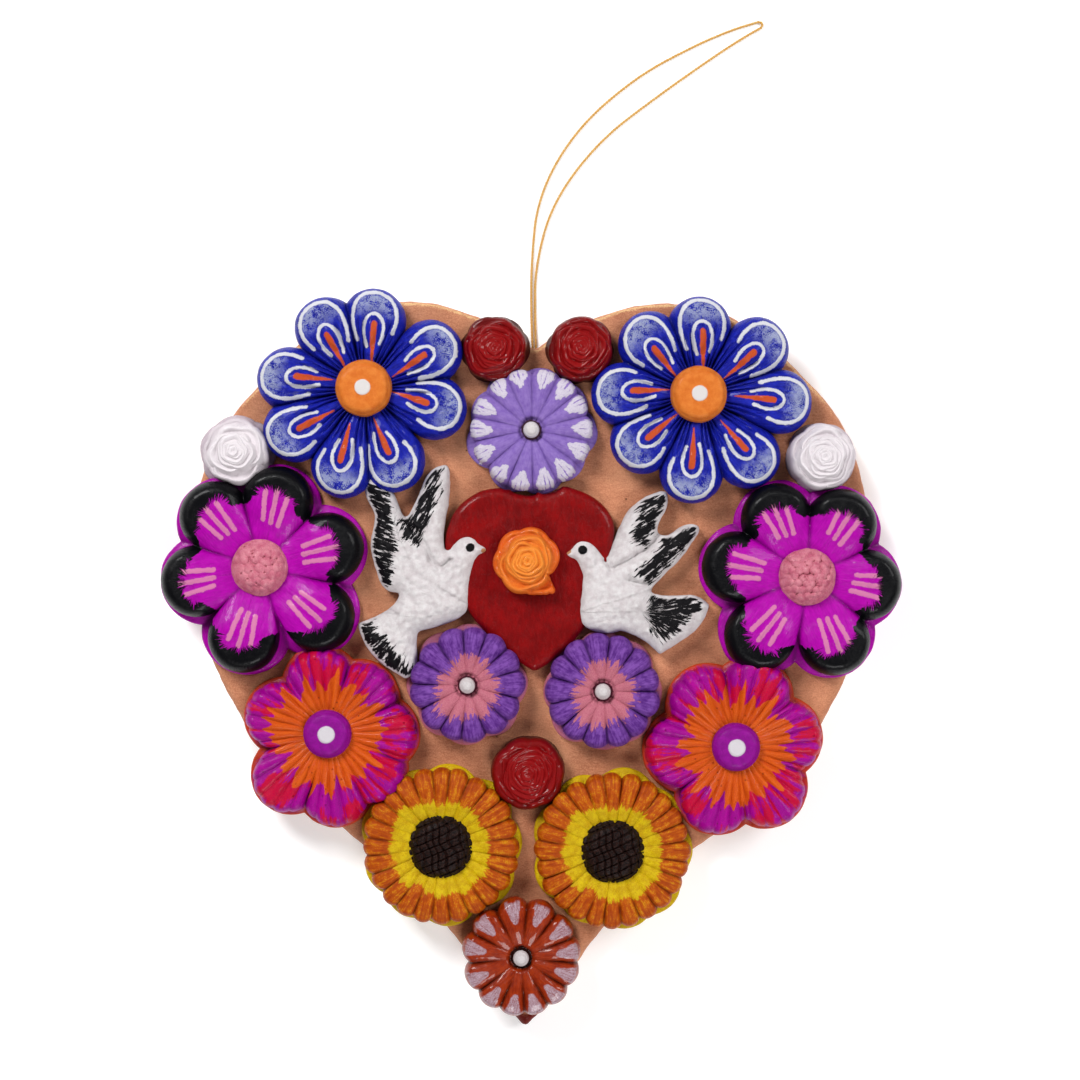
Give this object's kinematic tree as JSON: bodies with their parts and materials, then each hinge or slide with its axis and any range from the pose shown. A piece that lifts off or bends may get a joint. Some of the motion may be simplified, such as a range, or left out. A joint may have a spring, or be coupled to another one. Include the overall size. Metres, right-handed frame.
{
  "type": "clay wall plaque",
  "caption": "Heart-shaped clay wall plaque covered in painted flowers, roses, a heart and two doves, hung from a loop of gold thread.",
  "frame": {"origin": "on the back face, at the middle of the clay's width and height", "axes": "+Z out of the front face; +Y up the plaque, towards the notch and the hanging thread; +X to the right seen from the front"},
  "size_m": [0.159, 0.2195, 0.0163],
  "materials": {
    "plate_clay": "matte copper-brown paint with a fine brushed grain",
    "blue_paint": "satin blue paint with white and orange strokes",
    "orange_paint": "satin orange paint with a white dot",
    "lilac_paint": "matte lilac paint with white brush tips",
    "white_paint": "matte white paint",
    "magenta_paint": "satin magenta paint with black dry-brushed rims",
    "pink_paint": "matte pink paint",
    "coral_paint": "satin orange and magenta paint",
    "purple_button_paint": "satin purple paint with a white dot",
    "sunflower_paint": "satin orange-brown and yellow paint",
    "seed_paint": "matte dark brown paint",
    "purple_paint": "matte purple and pink paint",
    "rust_paint": "varnished rust paint with silvery strokes",
    "red_paint": "varnished red paint",
    "rose_white_paint": "matte white paint",
    "rose_orange_paint": "satin orange paint with darker strokes",
    "heart_paint": "brushed dark red paint",
    "dove_paint": "matte white paint with black dry-brushed feathers",
    "wire": "plain steel wire",
    "gold_thread": "twisted metallic gold thread"
  },
  "bodies": {
    "root": {"blue_centre_left": "orange_paint", "blue_centre_right": "orange_paint", "blue_flower_left": "blue_paint", "blue_flower_right": "blue_paint", "coral_button_left": "purple_button_paint", "coral_button_right": "purple_button_paint", "coral_flower_left": "coral_paint", "coral_flower_right": "coral_paint", "dove_left": "dove_paint", "dove_right": "dove_paint", "hanging_thread": "gold_thread", "hanging_wire": "wire", "heart_plate": "plate_clay", "lilac_flower": "lilac_paint", "lilac_pellet": "white_paint", "magenta_centre_left": "pink_paint", "magenta_centre_right": "pink_paint", "magenta_flower_left": "magenta_paint", "magenta_flower_right": "magenta_paint", "orange_rose": "rose_orange_paint", "purple_flower_left": "purple_paint", "purple_flower_right": "purple_paint", "purple_pellet_left": "white_paint", "purple_pellet_right": "white_paint", "red_heart": "heart_paint", "red_rose_left": "red_paint", "red_rose_lower": "red_paint", "red_rose_right": "red_paint", "rust_flower": "rust_paint", "rust_pellet": "white_paint", "sunflower_disc_left": "seed_paint", "sunflower_disc_right": "seed_paint", "sunflower_left": "sunflower_paint", "sunflower_right": "sunflower_paint", "thread_knot": "gold_thread", "white_rose_left": "rose_white_paint", "white_rose_right": "rose_white_paint"}
  },
  "joints": []
}
